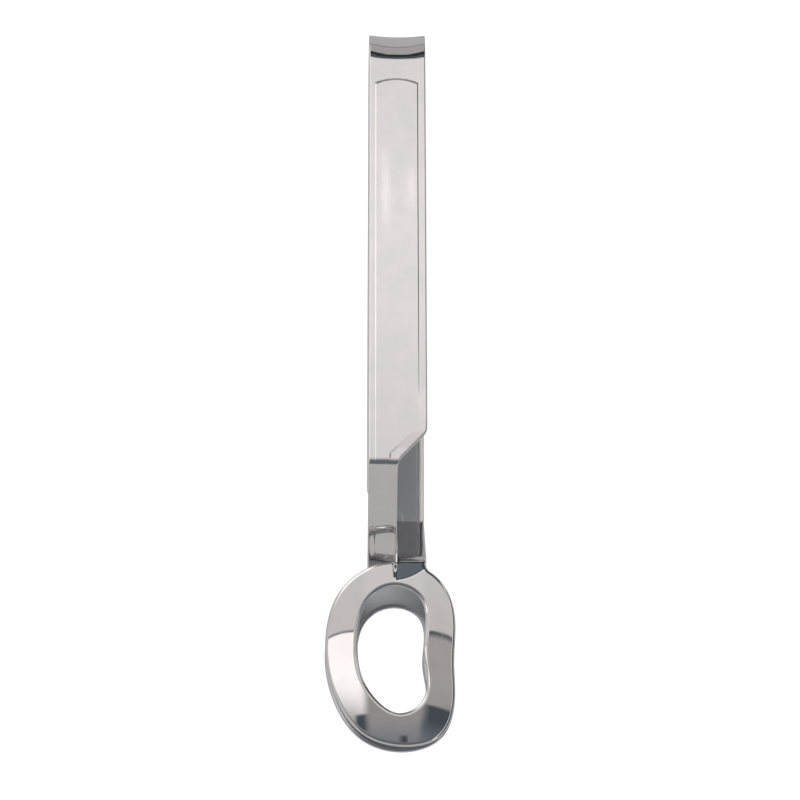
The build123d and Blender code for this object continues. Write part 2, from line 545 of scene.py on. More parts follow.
@dataclass
class SpringBow:
    """The half-round spring, in two halves that run from the apex to their arms."""

    line: StripLine
    place: StripFrame
    sink: float = 0.34
    sink_start: float = 1.15
    sink_full: float = -5.0
    lead_in: float = 1.15
    lead_in_drop: float = 0.6
    row_step: float = 0.22
    column_step: float = 0.3

    def saddle(self, x: Array, distance: float) -> Array:
        """How far the strip sinks: its middle below its edges, and where the bow eases in.

        Args:
            x: Distances across the strip.
            distance: Length along the sheet from the bow's end, negative round the bow.

        Returns:
            The height at each point, zero or less.
        """
        amount = 1 - smooth_step(distance, self.sink_full, self.sink_start)
        sunk = self.sink * amount * (1 - (x / self.line.edge) ** 2)
        radius = self.line.mid_radius
        lead = self.lead_in - self.lead_in_drop * (x / self.line.edge) ** 2
        if distance >= 0:
            eased = np.maximum(0.0, lead - distance) ** 2 / (2 * radius)
        else:
            left = max(0.0, 1 + distance / (radius * math.pi / 2))
            eased = (lead**2 / 2 - lead * distance) / radius * left**2
        return -sunk - eased

    def build(self, arm: Arm, finish: "StainlessFinish") -> bpy.types.Object:
        """One half of the bow, from its apex round to where its arm starts.

        Args:
            arm: The arm that this half runs into.
            finish: The metal that it is dressed in.

        Returns:
            The half's object.
        """
        line = self.line
        sweep = StripSweep(line, self.place, arm)
        apex = -math.radians(90 - line.handle_spread) * line.mid_radius
        rim = sweep.rounding.width
        columns = spaced((-line.edge + rim, line.edge - rim, self.column_step))[1:-1]
        rows = [
            sweep.row(s, columns, self.saddle, line.edge, 0.0)
            for s in spaced((apex, 0.0, self.row_step))
        ]
        name = f"bow_{arm.name.lower()}_half"
        points, brushed = (np.array(part) for part in zip(*rows))
        made = grid_object(name, points, brushed, capped=True, ring=False)
        finish.dress(made)
        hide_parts("bow")
        start = self.place.place(np.array(0.0), np.array(0.0), np.array(0.0))
        end_reach, end_rise, _ = line.station(0.0)
        end = self.place.place(
            np.array(0.0), np.array(end_reach), np.array(end_rise * arm.value))
        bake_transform(made)
        return made


@dataclass
class ArmStrip:
    """A handle with its pressed panel and slanting shoulder, and the neck below it."""

    line: StripLine
    place: StripFrame
    bow: SpringBow
    panel: PressedPanel = PressedPanel()
    cut_start: float = 98.1
    cut_corner_x: float = 5.5
    corner_round: float = 0.9
    foot_round: float = 1.1
    split_x: float = -3.4
    slant_x: float = 1.0
    line_margin: float = 0.1
    arch_margin: float = 0.2
    below_bend: float = 2.0
    border_step: float = 0.3
    line_step: float = 0.07
    panel_step: float = 0.25
    slant_step: float = 0.16
    plain_step: float = 0.4
    long_step: float = 0.9
    shoulder_step: float = 0.13
    bend_step: float = 0.035
    below_step: float = 0.1
    neck_step: float = 0.7

    def far_edge(self, distance: Array) -> Array:
        """Where the far edge is, along the handle, round the shoulder and down the neck.

        Args:
            distance: Lengths along the sheet from the bow's end.

        Returns:
            The edge's x at each length.
        """
        line = self.line
        reach = line.bow_end[0] + distance * turned(line.handle_spread)[0]
        neck_edge = -line.edge + line.neck_width
        slope = (self.cut_corner_x - neck_edge) / (line.shoulder_reach - self.cut_start)
        cut = self.cut_corner_x - (reach - self.cut_start) * slope
        outer = smooth_min(np.full_like(cut, line.edge), cut, self.corner_round)
        return -smooth_min(-outer, np.full_like(cut, -neck_edge), self.foot_round)

    def lift(self, x: Array, distance: float) -> Array:
        """How far the sheet is pushed out or sunk at points of one row.

        Args:
            x: Distances across the strip.
            distance: Length along the sheet from the bow's end.

        Returns:
            The height at each point, above or below the plain strip.
        """
        line = self.line
        reach = line.bow_end[0] + distance * turned(line.handle_spread)[0]
        past = distance - line.handle_length
        pressed = self.panel.lift(x, np.full_like(x, reach), np.full_like(x, past))
        if distance < self.bow.sink_start:
            return pressed + self.bow.saddle(x, distance)
        return pressed

    def columns(self, right: float, slant: float, rim: float) -> Array:
        """Positions across the top face, close together beside the panel's lines.

        Args:
            right: Where the far edge is at this row.
            slant: Slope of the far edge at this row.
            rim: Width of the edge's rounding.

        Returns:
            The positions from near edge to far edge.
        """
        line, panel, margin = self.line, self.panel, self.line_margin
        low = (panel.low_x - margin, panel.low_x + panel.step + margin)
        high = (panel.high_x - panel.step - margin, panel.high_x + margin)
        near = spaced(
            (-line.edge + rim, low[0], self.border_step), (*low, self.line_step),
            (low[1], self.split_x, self.panel_step))
        full = spaced(
            (self.split_x, self.slant_x, self.slant_step),
            (self.slant_x, high[0], self.panel_step), (*high, self.line_step),
            (high[1], line.edge - rim, self.border_step))[1:-1]
        limit = right - rim * math.sqrt(1 + slant * slant)
        squeeze = (limit - self.split_x) / (line.edge - rim - self.split_x)
        return np.concatenate([near[1:], self.split_x + (full - self.split_x) * squeeze])

    def sweep(self, name: str, arm: Arm, distances: Array) -> bpy.types.Object:
        """Mesh of the strip through the given stations.

        Args:
            name: Name of the object.
            arm: The arm that it belongs to.
            distances: Lengths along the sheet from the bow's end.

        Returns:
            The stretch's object.
        """
        sweep = StripSweep(self.line, self.place, arm)
        edge = self.far_edge(distances)
        slope = np.gradient(edge, distances)
        rows = []
        for s, right, slant in zip(distances, edge, slope):
            columns = self.columns(right, slant, sweep.rounding.width)
            rows.append(sweep.row(s, columns, self.lift, right, slant))
        points, brushed = (np.array(part) for part in zip(*rows))
        return grid_object(name, points, brushed, capped=True, ring=False)

    def build_handle(self, arm: Arm, finish: "StainlessFinish") -> bpy.types.Object:
        """One handle, riding on its arm.

        Args:
            arm: The arm that it belongs to.
            finish: The metal that it is dressed in.

        Returns:
            The handle's object.
        """
        line, panel = self.line, self.panel
        run = turned(line.handle_spread)[0]
        margin = self.arch_margin
        arch_low = (panel.start - margin - line.bow_end[0]) / run
        arch_high = (panel.start + panel.arch + panel.step + margin - line.bow_end[0]) / run
        slant_low = (panel.fade_end - line.bow_end[0]) / run
        distances = spaced(
            (0.0, arch_low, self.plain_step), (arch_low, arch_high, self.line_step),
            (arch_high, slant_low, self.long_step),
            (slant_low, line.handle_length, self.shoulder_step))
        name = f"{arm.name.lower()}_handle"
        made = self.sweep(name + "_strip", arm, distances)
        finish.dress(made)
        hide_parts(name)
        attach(made, arm.body)
        return made

    def build_neck(self, arm: Arm, finish: "StainlessFinish") -> bpy.types.Object:
        """One neck with its rounded shoulder, riding on its arm.

        Args:
            arm: The arm that it belongs to.
            finish: The metal that it is dressed in.

        Returns:
            The neck's object.
        """
        line = self.line
        start = line.handle_length
        bend_end = start + line.bend_length
        distances = spaced(
            (start, bend_end, self.bend_step),
            (bend_end, bend_end + self.below_bend, self.below_step),
            (bend_end + self.below_bend, bend_end + line.neck_length - line.tongue_run,
             self.neck_step))
        name = f"{arm.name.lower()}_neck"
        made = self.sweep(name + "_strip", arm, distances)
        finish.dress(made)
        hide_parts(name)
        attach(made, arm.body)
        return made


@dataclass
class RingJaw:
    """A kidney-shaped ring, dished both ways, with the tongue that the neck runs into."""

    line: StripLine
    place: StripFrame
    neck_rounding: EdgeRound = EdgeRound(0.3, 0.3)
    ring_rounding: EdgeRound = EdgeRound(0.85, 0.6)
    long_radius: float = 150.0
    cross_radius: float = 36.0
    centre_x: float = -1.0
    rear_shift: float = -0.08
    tongue_slope: float = 0.2
    tongue_tip: float = 126.1
    tongue_tip_depth: float = 0.06
    tongue_side: float = 1.3
    tongue_crease: float = 0.05
    root_blend: float = 1.15
    rim_inset: float = 0.03
    brushed_start: float = 120.6
    brushed_full: float = 122.2
    corner_round: float = 0.9
    round_run: float = 1.8
    outline_points: int = 420
    cap_points: int = 22
    even_share: float = 0.35
    across: int = 26
    curve_points: int = 3000
    body_points: int = 2400
    fillet_points: int = 24
    root_limit: float = 130.0
    centre_reach: float = 140.0
    round_start: float = 0.6
    corner_gap: float = 0.05
    fine_run: float = 4.0
    fine_step: float = 0.12
    slope_step: float = 1e-4
    strict_fall: float = 1e-3
    outline: tuple[tuple[float, float], ...] = (
        (2.6, 122.0), (8.8, 125.4), (11.5, 131.5), (11.48, 142.0), (11.62, 149.8), (9.0, 156.8),
        (1.7, 159.5), (-7.2, 156.7), (-12.3, 149.3), (-14.33, 137.5), (-11.6, 127.8),
        (-6.2, 123.2),
    )
    hole: tuple[tuple[float, float], ...] = (
        (0.2, 127.1), (4.6, 129.5), (5.6, 134.9), (5.3, 140.3), (6.0, 146.5), (4.8, 150.6),
        (0.6, 152.9), (-4.35, 149.9), (-7.35, 144.1), (-7.8, 138.0), (-6.1, 130.5),
        (-3.4, 127.9),
    )

    def tongue_span(self, side: int) -> tuple[float, float]:
        """Lower and upper x of the tongue, which is the neck's own width.

        Args:
            side: 1 for the upper jaw and -1 for the lower one.

        Returns:
            The two edges of the tongue.
        """
        line = self.line
        if side > 0:
            return line.edge - line.neck_width, line.edge
        return -line.edge, -line.edge + line.neck_width

    def middle(self, x: Array, reach: Array, shift: float, side: int) -> Array:
        """Rise of the mid-sheet surface, as for the upper jaw.

        Args:
            x: Distances across.
            reach: Reach of each point.
            shift: Sideways shift of this jaw.
            side: 1 for the upper jaw and -1 for the lower one.

        Returns:
            The surface's rise at each point.
        """
        line = self.line
        start, top = line.jaw_start[0], -line.jaw_start[1]
        after = np.clip(reach - start, 0.0, None)
        crown = top - self.long_radius + np.sqrt(self.long_radius**2 - after**2)
        cross = self.cross_radius - (top - crown)
        off = x - shift - self.centre_x
        dish = crown - (cross - np.sqrt(cross**2 - off**2))
        low, high = self.tongue_span(side)
        inner = x - low if side > 0 else high - x
        flat = top - self.tongue_tip_depth - self.tongue_slope * (self.tongue_tip - reach)
        under = smooth_min(dish, flat, self.tongue_crease)
        if side > 0:
            dish = dish + (under - dish) * smooth_step(inner, -self.tongue_side, 0.0)
        slope = math.tan(math.radians(line.neck_angle))
        neck = top + (reach - line.jaw_reach) * slope
        return smooth_min(neck, dish, self.root_blend)

    def slopes(self, x: Array, reach: Array, shift: float,
               side: int) -> tuple[Array, Array, Array]:
        """Rise of the mid-sheet surface and its slopes along and across.

        Args:
            x: Distances across.
            reach: Reach of each point.
            shift: Sideways shift of this jaw.
            side: 1 for the upper jaw and -1 for the lower one.

        Returns:
            The rise, the slope along the reach and the slope across.
        """
        tiny = self.slope_step
        rise = self.middle(x, reach, shift, side)
        along = (self.middle(x, reach + tiny, shift, side) - rise) / tiny
        across = (self.middle(x + tiny, reach, shift, side) - rise) / tiny
        return rise, along, across

    def solid_point(self, plan: Array, height: Array, shift: float, side: int) -> Array:
        """Points at a height above the mid-sheet surface, in metres.

        Args:
            plan: Plan positions, as (x, reach) along the last axis.
            height: Height above mid-sheet, along the surface's normal.
            shift: Sideways shift of this jaw.
            side: 1 for the upper jaw and -1 for the lower one.

        Returns:
            The points in the CAD model's frame.
        """
        x, reach = plan[..., 0], plan[..., 1]
        rise, along, across = self.slopes(x, reach, shift, side)
        size = np.sqrt(along**2 + across**2 + 1)
        return self.place.place(
            x - across / size * height, reach - along / size * height,
            (rise + height / size) * side)

    def solid_normal(self, plan: Array, inward: Array, outward: Array, upward: Array,
                     shift: float, side: int) -> Array:
        """Exact normals of the jaw's surface, in the CAD model's frame.

        Args:
            plan: Plan positions, as (x, reach) along the last axis.
            inward: Unit plan direction from the cut edge into the sheet.
            outward: How far each point faces out of the cut edge.
            upward: How far each point faces up, negative below mid-sheet.
            shift: Sideways shift of this jaw.
            side: 1 for the upper jaw and -1 for the lower one.

        Returns:
            The unit normals.
        """
        _, along, across = self.slopes(plan[..., 0], plan[..., 1], shift, side)
        size = np.sqrt(along**2 + across**2 + 1)
        up = np.stack([-across / size, -along / size, 1 / size], -1)
        climb = inward[..., 0] * across + inward[..., 1] * along
        into = np.stack([inward[..., 0], inward[..., 1], climb], -1)
        into = into / np.linalg.norm(into, axis=-1)[..., None]
        normal = up * upward[..., None] - into * outward[..., None]
        normal = normal / np.linalg.norm(normal, axis=-1)[..., None]
        return self.place.direct(normal[..., 0], normal[..., 1], normal[..., 2] * side)

    def rim_path(self, low: float, high: float, shift: float) -> tuple[Array, Array]:
        """Outer rim with the tongue let in, from one end of the tongue's cap to the other.

        Args:
            low: Lower x of the tongue.
            high: Upper x of the tongue.
            shift: Sideways shift of this jaw.

        Returns:
            The rim's points, and how much of each point's rounding is the ring's.
        """
        curve = closed_spline(list(self.outline), self.curve_points) + np.array([shift, 0.0])
        top = self.line.tongue_reach
        inside = (curve[:, 0] > low) & (curve[:, 0] < high) & (curve[:, 1] < self.root_limit)
        first = int(np.argmax(inside & ~np.roll(inside, 1)))
        curve = np.roll(curve, -first, axis=0)
        kept = curve[int(np.count_nonzero(inside)):]
        if kept[0][0] < kept[-1][0]:
            kept = kept[::-1]
        corner_far = np.array([high, kept[0][1]])
        corner_near = np.array([low, kept[-1][1]])
        length = path_length(kept)
        cut = self.corner_round
        body = resampled(kept, np.linspace(cut, length[-1] - cut, self.body_points))
        t = np.linspace(0, 1, self.fillet_points)[:, None]

        def fillet(a: Array, corner: Array, b: Array) -> Array:
            """Rounded corner from one point to another."""
            return (1 - t) ** 2 * a + 2 * t * (1 - t) * corner + t**2 * b

        side_far = np.array([high, max(top + self.corner_gap, corner_far[1] - cut)])
        side_near = np.array([low, max(top + self.corner_gap, corner_near[1] - cut)])
        path = np.concatenate([
            [[high, top]], fillet(side_far, corner_far, body[0]), body[1:-1],
            fillet(body[-1], corner_near, side_near), [[low, top]],
        ])
        total = path_length(path)
        at = self.rim_spacing(total[-1])
        from_end = np.minimum(at, total[-1] - at)
        share = smooth_step(from_end, self.round_start, self.round_start + self.round_run)
        return resampled(path, at), share

    def rim_spacing(self, total: float) -> Array:
        """Distances along the rim, closer together beside the tongue."""
        run, step = self.fine_run, self.fine_step
        return spaced((0, run, step), (run, total - run, total / self.outline_points),
                      (total - run, total, step))

    def build(self, arm: Arm, finish: "StainlessFinish") -> bpy.types.Object:
        """One jaw, riding on its arm: the upper arm carries the lower jaw.

        Args:
            arm: The arm that it belongs to.
            finish: The metal that it is dressed in.

        Returns:
            The jaw's object.
        """
        line = self.line
        side = -arm.value
        shift = self.rear_shift if arm is Arm.UPPER else 0.0
        low, high = self.tongue_span(side)
        rim, share = self.rim_path(low, high, shift)
        inward = self.inward(rim, closed=False)
        inward[0], inward[-1] = (-1, 0), (1, 0)
        rim = rim + inward * self.rim_inset * share[:, None]
        cap_x = np.linspace(low, high, self.cap_points)[1:-1]
        cap = np.stack([cap_x, np.full_like(cap_x, line.tongue_reach)], axis=1)
        centre, reach = (low + high) / 2, (high - low) / 2
        cap_in = np.stack([(centre - cap_x) / reach, np.zeros_like(cap_x)], axis=1)
        outer = np.concatenate([rim, cap])
        normal = np.concatenate([inward, cap_in])
        share = np.concatenate([share, np.zeros(len(cap))])[:, None]
        hole = self.matched_hole(outer, shift)
        hole_normal = -self.inward(hole, closed=True)
        count = len(outer)

        def shared(plain: Array, ring: Array) -> Array:
            """The rim's profile, part the neck's and part the ring's."""
            return plain * (1 - share) + ring * share

        plain, whole = self.neck_rounding, self.ring_rounding
        inset, height = (
            shared(a, b) for a, b in zip(plain.profile(line.half), whole.profile(line.half)))
        outward, upward = (shared(a, b) for a, b in zip(plain.facing(), whole.facing()))
        ring_in, ring_up = whole.profile(line.half)
        hole_out, hole_face = (np.tile(a, (count, 1)) for a in whole.facing())
        rim_part = outer[:, None, :] + normal[:, None, :] * inset[:, :, None]
        hole_part = hole[:, None, :] + hole_normal[:, None, :] * ring_in[None, :, None]
        t = np.linspace(0, 1, self.across + 2)[1:-1][None, :, None]
        face_part = rim_part[:, -1:, :] * (1 - t) + hole_part[:, -1:, :] * t
        flat = np.ones((count, self.across))
        hole_up = np.tile(ring_up, (count, 1))
        rim_dir = np.repeat(normal[:, None, :], inset.shape[1], axis=1)
        hole_dir = np.repeat(hole_normal[:, None, :], inset.shape[1], axis=1)
        face_dir = np.repeat(normal[:, None, :], self.across, axis=1)

        def looped(rim_set: Array, face_set: Array, hole_set: Array, sign: float) -> Array:
            """One value round the whole section: over the top, through the hole and back."""
            return np.concatenate([
                rim_set, face_set, hole_set[:, ::-1], sign * hole_set[:, 1:],
                sign * face_set[:, ::-1], sign * rim_set[:, :0:-1]], axis=1)

        plan = looped(rim_part, face_part, hole_part, 1.0)
        up = looped(height, flat * line.half, hole_up, -1.0)
        grid = self.solid_point(plan, up, shift, side)
        normals = self.solid_normal(
            plan, looped(rim_dir, face_dir, hole_dir, 1.0),
            looped(outward, flat * 0, hole_out, 1.0), looped(upward, flat, hole_face, -1.0),
            shift, side)
        name = "lower_jaw" if arm is Arm.UPPER else "upper_jaw"
        brushed = np.clip(-up / line.half, 0.0, 1.0)
        brushed = brushed * smooth_step(plan[..., 1], self.brushed_start, self.brushed_full)
        made = grid_object(name + "_ring", grid, brushed, capped=False, ring=True)
        self.set_normals(made, normals.reshape(-1, 3), len(rim), grid.shape[1])
        finish.dress(made)
        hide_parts(name)
        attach(made, arm.body)
        return made

    def inward(self, points: Array, closed: bool) -> Array:
        """Unit vectors square to a plan curve, towards the ring's middle.

        Args:
            points: The curve's plan points, in order.
            closed: Whether the last point joins on to the first.

        Returns:
            One unit vector for each point.
        """
        if closed:
            tangent = np.roll(points, -1, axis=0) - np.roll(points, 1, axis=0)
        else:
            tangent = np.gradient(points, axis=0)
        tangent /= np.linalg.norm(tangent, axis=1)[:, None]
        square = np.stack([-tangent[:, 1], tangent[:, 0]], axis=1)
        centre = np.array([self.centre_x, self.centre_reach])
        if np.sum((centre - points) * square) < 0:
            square = -square
        return square

    def matched_hole(self, outer: Array, shift: float) -> Array:
        """A point of the hole's outline for each point of the rim, in the same order.

        Args:
            outer: The rim's plan points.
            shift: Sideways shift of this jaw.

        Returns:
            The hole's plan points, one for each point of the rim.
        """
        curve = closed_spline(list(self.hole), self.curve_points) + np.array([shift, 0.0])
        centre = np.array([self.centre_x + shift, self.centre_reach])

        def bearing(points: Array) -> Array:
            """Unwrapped bearing of points from the ring's centre, from the neck side."""
            off = points - centre
            return np.unwrap(np.arctan2(off[:, 0], -off[:, 1]))

        wanted = bearing(outer)
        wanted = np.minimum.accumulate(wanted) if wanted[-1] < wanted[0] else wanted
        wanted = wanted - np.linspace(0, self.strict_fall, len(wanted))
        own = bearing(curve)
        if own[-1] < own[0]:
            curve, own = curve[::-1], own[::-1]
        turn = 2 * math.pi
        length = path_length(curve)
        every = np.concatenate([own - turn, own, own + turn])
        where = np.concatenate([length - length[-1], length, length + length[-1]])
        spot = np.interp(wanted, every, where)
        around = path_length(np.concatenate([outer, outer[:1]]))
        way = math.copysign(length[-1], spot[-1] - spot[0])
        even = spot[0] + way * around[:-1] / around[-1]
        mixed = spot * (1 - self.even_share) + even * self.even_share
        return resampled(curve, mixed % length[-1])

    def set_normals(self, made: bpy.types.Object, normals: Array, first: int,
                    loop: int) -> None:
        """Gives the ring its exact normals, and keeps the tongue's end flat.

        Args:
            made: The ring.
            normals: One normal for each vertex.
            first: How many rows of the grid lie along the rim.
            loop: How many points each row has.
        """
        mesh = made.data
        rim = len(self.neck_rounding.profile(self.line.half)[0])
        exact = []
        for face in mesh.polygons:
            rows = {v // loop for v in face.vertices}
            spots = {v % loop for v in face.vertices}
            on_end = all(row >= first - 1 or row == 0 for row in rows)
            at_edge = max(spots) <= rim - 1 or min(spots) >= loop - rim + 1
            wraps = spots == {0, loop - 1}
            flat_end = on_end and (at_edge or wraps)
            for corner in face.vertices:
                exact.append(face.normal[:] if flat_end else tuple(normals[corner]))
        mesh.normals_split_custom_set(exact)


# ------------------------------------------------------------------ shader groups
class NodeBench:
    """Adds nodes to a tree with their values and links in one call."""

    def __init__(self, tree: bpy.types.NodeTree) -> None:
        """Keeps the tree that nodes are added to."""
        self.tree = tree
        self.column = 0

    def add(self, kind: str, links: dict | None = None, **values: object) -> bpy.types.Node:
        """Adds one node.

        Args:
            kind: The node's type name.
            links: Input name or number to either a socket to link or a plain value.
            values: Properties set on the node itself.

        Returns:
            The new node.
        """
        node = self.tree.nodes.new(kind)
        self.column += 1
        node.location = (self.column * 170, (self.column % 4) * -130)
        for key, value in values.items():
            setattr(node, key, value)
        for key, value in (links or {}).items():
            if isinstance(value, bpy.types.NodeSocket):
                self.tree.links.new(value, node.inputs[key])
            else:
                node.inputs[key].default_value = value
        return node

    def maths(self, operation: str, *inputs: object) -> bpy.types.NodeSocket:
        """Adds a Math node and gives its result socket."""
        links = dict(enumerate(inputs))
        return self.add("ShaderNodeMath", links, operation=operation).outputs[0]


class SocketKind(Enum):
    """Kinds of group socket that the effects use."""

    NUMBER = "NodeSocketFloat"
    VECTOR = "NodeSocketVector"


def new_group(name: str, inputs: dict[str, tuple[SocketKind, object]],
              outputs: dict[str, SocketKind]) -> tuple[bpy.types.NodeTree, NodeBench]:
    """Makes an empty shader node group with named sockets.

    Args:
        name: Name of the group.
        inputs: Each input's kind and starting value.
        outputs: Each output's kind.

    Returns:
        The group and a bench to add its nodes with.
    """
    group = bpy.data.node_groups.new(name, "ShaderNodeTree")
    for label, (kind, value) in inputs.items():
        made = group.interface.new_socket(name=label, in_out="INPUT", socket_type=kind.value)
        if kind is SocketKind.NUMBER:
            made.default_value = value
    for label, kind in outputs.items():
        group.interface.new_socket(name=label, in_out="OUTPUT", socket_type=kind.value)
    return group, NodeBench(group)


@dataclass(frozen=True)
class PolishPattern:
    """Numbers behind the polish lines and the broader bands among them."""

    detail: float = 3.0
    roughness: float = 0.6
    band_width: float = 0.11
    band_scale: float = 0.5
    band_detail: float = 2.0
    band_roughness: float = 0.5
    band_share: float = 0.7
    dull_from: float = 0.4
    dull_full: float = 0.75


@dataclass(frozen=True)
class MarkPattern:
    """Numbers behind the handling marks: sets of scratches, the gaps in them and smears."""

    sets: tuple[tuple[float, float], ...] = ((0.35, 0.045), (-0.9, 0.06), (1.9, 0.05))
    scratch_width: float = 0.006
    gap_scale: float = 260.0
    gap_spread: float = 90.0
    gap_from: float = 0.60
    gap_full: float = 0.68
    smear_detail: float = 4.0
    smear_roughness: float = 0.55
    smear_from: float = 0.42
    smear_full: float = 0.7


def polish_lines_group(pattern: PolishPattern = PolishPattern()) -> bpy.types.NodeTree:
    """Fine lines left by polishing along the strip, as a height and a dullness mask.

    Args:
        pattern: The numbers behind the lines.

    Returns:
        The node group.
    """
    group, bench = new_group(
        "polish_lines",
        {"Vector": (SocketKind.VECTOR, None), "Fineness": (SocketKind.NUMBER, 9000.0),
         "Length": (SocketKind.NUMBER, 160.0)},
        {"Height": SocketKind.NUMBER, "Dullness": SocketKind.NUMBER})
    entry = bench.add("NodeGroupInput")
    split = bench.add("ShaderNodeSeparateXYZ", {0: entry.outputs["Vector"]})
    across = bench.maths("MULTIPLY", split.outputs[0], entry.outputs["Fineness"])
    along = bench.maths("MULTIPLY", split.outputs[1], entry.outputs["Length"])
    deep = bench.maths("MULTIPLY", split.outputs[2], entry.outputs["Length"])
    joined = bench.add("ShaderNodeCombineXYZ", {0: across, 1: along, 2: deep})
    noise = bench.add("ShaderNodeTexNoise", {"Vector": joined.outputs[0], "Scale": 1.0,
                                             "Detail": pattern.detail,
                                             "Roughness": pattern.roughness})
    wide_x = bench.maths("MULTIPLY", across, pattern.band_width)
    wide = bench.add("ShaderNodeCombineXYZ", {0: wide_x, 1: along, 2: deep})
    broad = bench.add("ShaderNodeTexNoise", {
        "Vector": wide.outputs[0], "Scale": pattern.band_scale, "Detail": pattern.band_detail,
        "Roughness": pattern.band_roughness})
    height = bench.maths("ADD", noise.outputs["Fac"],
                         bench.maths("MULTIPLY", broad.outputs["Fac"], pattern.band_share))
    dull = bench.add("ShaderNodeMapRange", {
        "Value": broad.outputs["Fac"], "From Min": pattern.dull_from,
        "From Max": pattern.dull_full, "To Min": 0.0, "To Max": 1.0})
    bench.add("NodeGroupOutput", {"Height": height, "Dullness": dull.outputs[0]})
    return group


def handling_marks_group(pattern: MarkPattern = MarkPattern()) -> bpy.types.NodeTree:
    """Sparse hair scratches and faint smears from handling, as two masks.

    Args:
        pattern: The numbers behind the marks.

    Returns:
        The node group.
    """
    group, bench = new_group(
        "handling_marks",
        {"Vector": (SocketKind.VECTOR, None), "Scratch Scale": (SocketKind.NUMBER, 120.0),
         "Smear Scale": (SocketKind.NUMBER, 70.0)},
        {"Scratches": SocketKind.NUMBER, "Smears": SocketKind.NUMBER})
    entry = bench.add("NodeGroupInput")
    total = None
    for turn, squash in pattern.sets:
        turned_to = bench.add("ShaderNodeMapping", {
            "Vector": entry.outputs["Vector"], "Rotation": (0.0, 0.0, turn),
            "Scale": (1.0, squash, squash)})
        cells = bench.add("ShaderNodeTexVoronoi", {
            "Vector": turned_to.outputs[0], "Scale": entry.outputs["Scratch Scale"],
            "Randomness": 1.0}, feature="DISTANCE_TO_EDGE")
        line = bench.add("ShaderNodeMapRange", {
            "Value": cells.outputs["Distance"], "From Min": 0.0,
            "From Max": pattern.scratch_width, "To Min": 1.0, "To Max": 0.0})
        patch = bench.add("ShaderNodeTexNoise", {
            "Vector": entry.outputs["Vector"], "Detail": 1.0,
            "Scale": pattern.gap_scale + pattern.gap_spread * turn})
        gate = bench.add("ShaderNodeMapRange", {
            "Value": patch.outputs["Fac"], "From Min": pattern.gap_from,
            "From Max": pattern.gap_full, "To Min": 0.0, "To Max": 1.0})
        gated = bench.maths("MULTIPLY", line.outputs[0], gate.outputs[0])
        total = gated if total is None else bench.maths("MAXIMUM", total, gated)
    smear = bench.add("ShaderNodeTexNoise", {
        "Vector": entry.outputs["Vector"], "Scale": entry.outputs["Smear Scale"],
        "Detail": pattern.smear_detail, "Roughness": pattern.smear_roughness})
    spread = bench.add("ShaderNodeMapRange", {
        "Value": smear.outputs["Fac"], "From Min": pattern.smear_from,
        "From Max": pattern.smear_full, "To Min": 0.0, "To Max": 1.0})
    bench.add("NodeGroupOutput", {"Scratches": total, "Smears": spread.outputs[0]})
    return group


